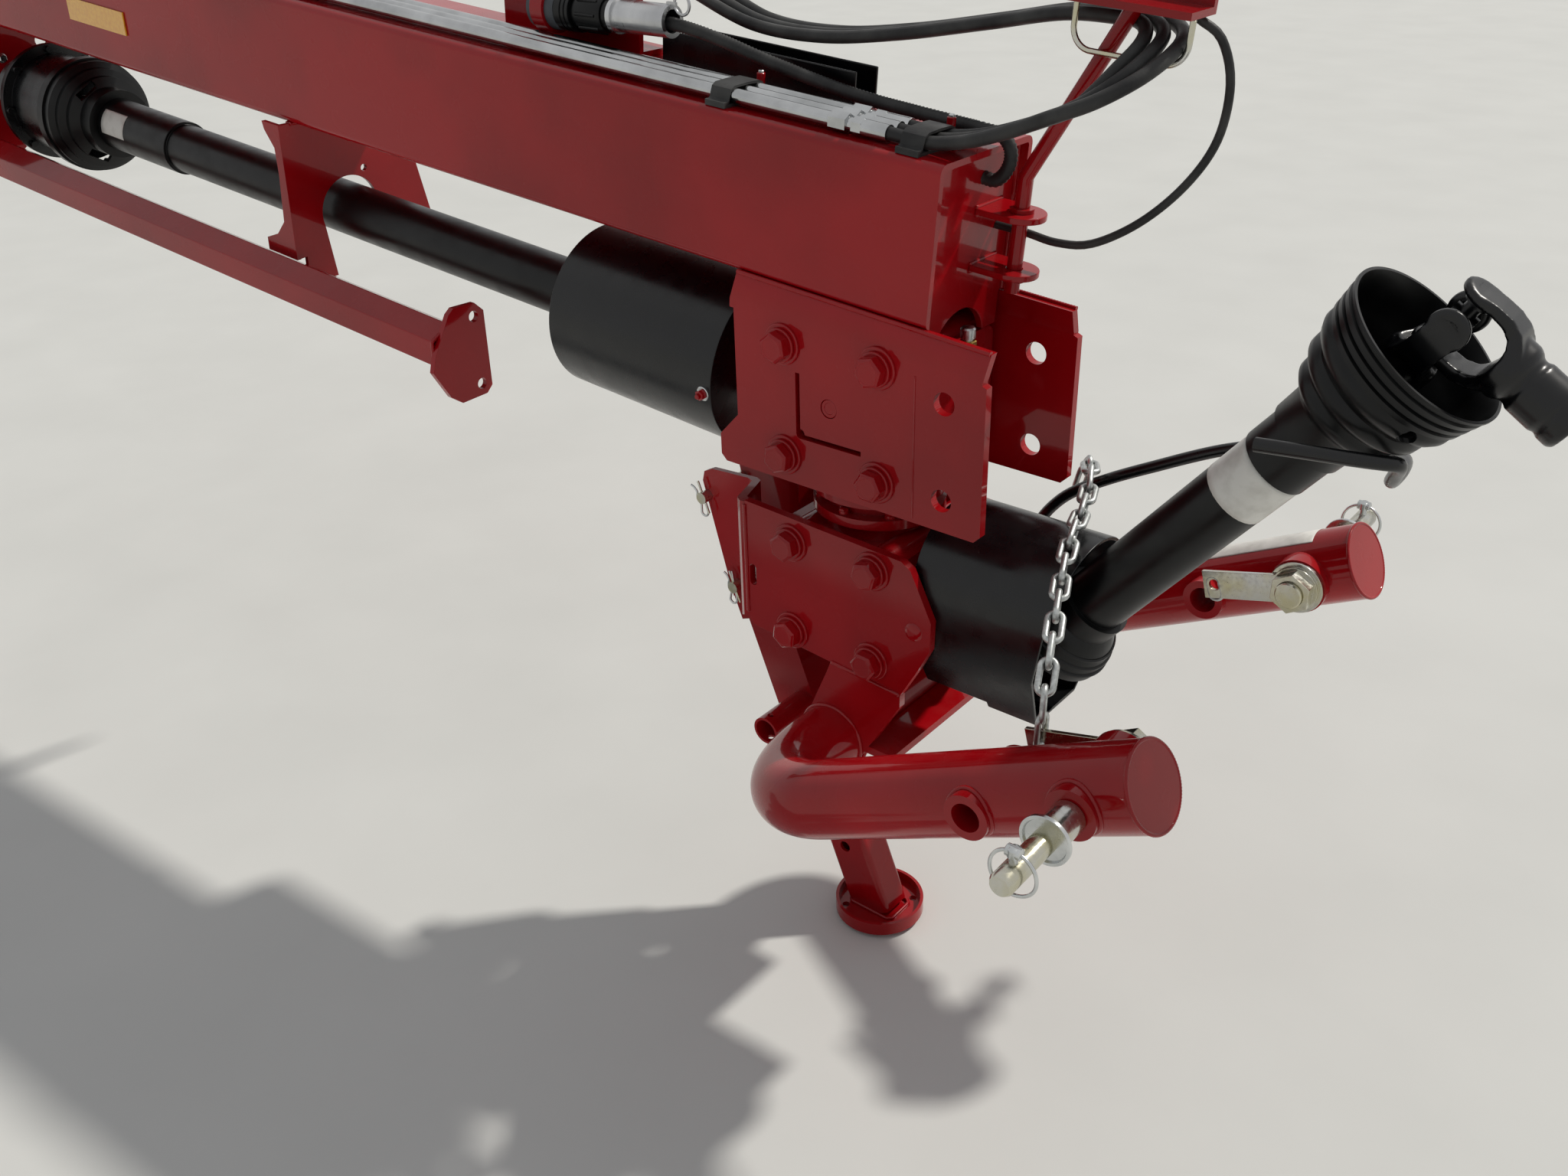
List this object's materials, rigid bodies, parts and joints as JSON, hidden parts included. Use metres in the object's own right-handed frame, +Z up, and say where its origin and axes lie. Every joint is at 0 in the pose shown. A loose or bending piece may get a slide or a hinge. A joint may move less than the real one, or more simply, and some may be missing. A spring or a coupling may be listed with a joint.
{
  "type": "mower conditioner drawbar with swivel gearbox hitch",
  "caption": "Front drawbar of a trailed mower conditioner: box beam, guarded drive line, swivelling gearbox hitch with link pins, parking stand and power shaft.",
  "frame": {"origin": "middle of the vertical pivot bore at the rear end of the drawbar", "axes": "+X forward towards the tractor, +Y to the machine's left, +Z up along the pivot bore"},
  "size_m": [3.3739, 1.009, 1.5017],
  "materials": {
    "red_paint": "gloss",
    "black_paint": "satin",
    "black_plastic": "satin",
    "zinc": "zinc plated",
    "steel_line": "drawn",
    "galvanised": "galvanised",
    "amber_reflector": "gloss",
    "hose_rubber": "matte"
  },
  "bodies": {
    "drawbar": {"tongue_beam": "red_paint", "pivot_hub": "red_paint", "front_plate": "red_paint", "upper_side_plates": "red_paint", "upper_gearbox": "red_paint", "upper_gearbox_bolts": "red_paint", "breather": "zinc", "bell_guard": "black_paint", "shaft_guard_tube": "black_plastic", "clutch_guard": "black_plastic", "mid_hanger": "red_paint", "side_rail": "red_paint", "rail_bulkhead": "red_paint", "rail_end_plate": "red_paint", "hydraulic_lines": "steel_line", "line_clamps": "black_paint", "line_fittings": "zinc", "side_reflector": "amber_reflector", "coupler_bracket": "red_paint", "parked_plug": "black_plastic", "plug_sleeve": "galvanised", "parked_couplers": "galvanised", "hose_trough": "black_paint", "hose_arm_lugs": "red_paint", "hose_arm": "red_paint", "hose_rings": "zinc", "hose_right": "hose_rubber", "hose_middle": "hose_rubber", "hose_left": "hose_rubber", "electric_cable": "hose_rubber", "plug_harness": "hose_rubber"},
    "drive_line": {"drive_shaft": "black_paint", "clutch_drum": "black_paint"},
    "hitch_head": {"lower_gearbox": "red_paint", "lower_side_plates": "red_paint", "lower_gearbox_bolts": "red_paint", "hitch_yoke": "red_paint", "link_pins": "zinc", "pin_hardware": "zinc", "linch_pins": "zinc", "input_shield": "black_plastic", "stand_bracket": "red_paint", "bracket_pins": "zinc", "safety_chain": "galvanised", "input_yoke": "black_paint"},
    "stand": {"stand_leg": "red_paint"},
    "support": {"shaft_support": "black_paint"},
    "shaft_rear": {"rear_guard_tube": "black_plastic", "rear_yoke": "black_paint"},
    "shaft_front": {"front_guard_tube": "black_plastic", "cone_guard": "black_plastic", "shaft_yoke": "black_paint"},
    "tractor_end": {"tractor_yoke": "black_paint"}
  },
  "joints": [
    {"name": "hitch_swivel", "type": "hinge", "parent": "drawbar", "child": "hitch_head", "pos_m": [2.45, 0, -0.586], "axis": [0, 0, 1], "range_deg": [-80, 80]},
    {"name": "drive_turn", "type": "hinge", "parent": "drawbar", "child": "drive_line", "pos_m": [1.45336, 0, -0.38206], "axis": [0.9966, 0, -0.0819], "continuous": true},
    {"name": "stand_slide", "type": "slide", "parent": "hitch_head", "child": "stand", "axis": [-0.3746, 0, 0.9272], "range_m": [0, 0.16]},
    {"name": "shaft_pitch", "type": "hinge", "parent": "hitch_head", "child": "shaft_rear", "pos_m": [2.737, 0, -0.717], "axis": [0, -1, 0], "range_deg": [-50, 2]},
    {"name": "support_fold", "type": "hinge", "parent": "hitch_head", "child": "support", "pos_m": [2.625, 0.125, -0.646], "axis": [0, -1, 0], "range_deg": [-50, 2]},
    {"name": "shaft_slide", "type": "slide", "parent": "shaft_rear", "child": "shaft_front", "axis": [0.6293, 0, 0.7771], "range_m": [0, 0.2]},
    {"name": "tractor_end_bend", "type": "hinge", "parent": "shaft_front", "child": "tractor_end", "pos_m": [3.1448, 0, -0.21341], "axis": [0, -1, 0], "range_deg": [0, 150]}
  ],
  "couplings": [
    {"joint": "support_fold", "follows": "shaft_pitch", "ratio": 1}
  ]
}
